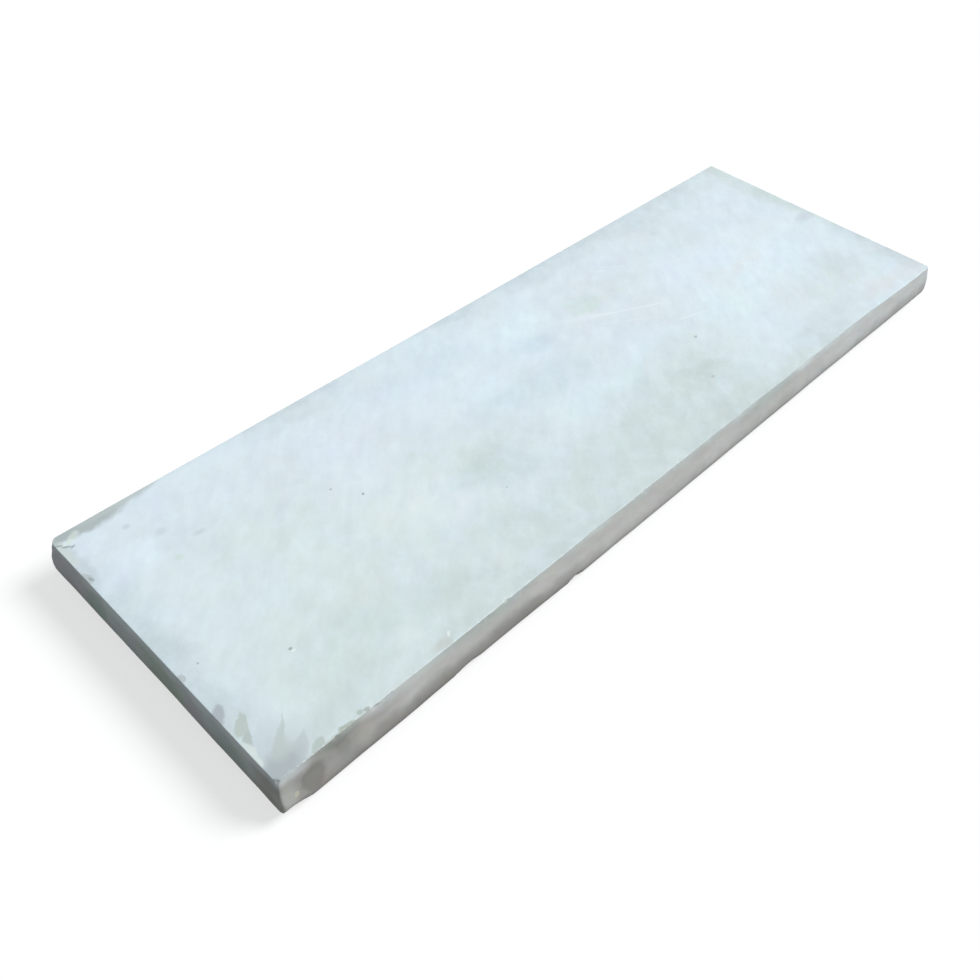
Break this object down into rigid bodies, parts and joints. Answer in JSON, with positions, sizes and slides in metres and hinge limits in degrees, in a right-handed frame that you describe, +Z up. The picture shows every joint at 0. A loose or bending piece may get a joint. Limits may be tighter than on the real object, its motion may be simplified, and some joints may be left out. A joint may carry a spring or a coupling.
{
  "type": "concrete paving slab",
  "caption": "Long rectangular cast concrete paving slab with a flat walking face, drafted sides and a rolled, spalled arris round its back.",
  "frame": {"origin": "centre of the slab's back, the flat underside that lies on the bed", "axes": "+X along the length, +Y across the width, +Z up out of the walking face"},
  "size_m": [0.9, 0.3, 0.05],
  "materials": {
    "concrete": "smooth cast concrete, pale blue-grey, weathered, with damp and bare patches at its edges"
  },
  "bodies": {
    "root": {"paving_slab": "concrete"}
  },
  "joints": []
}
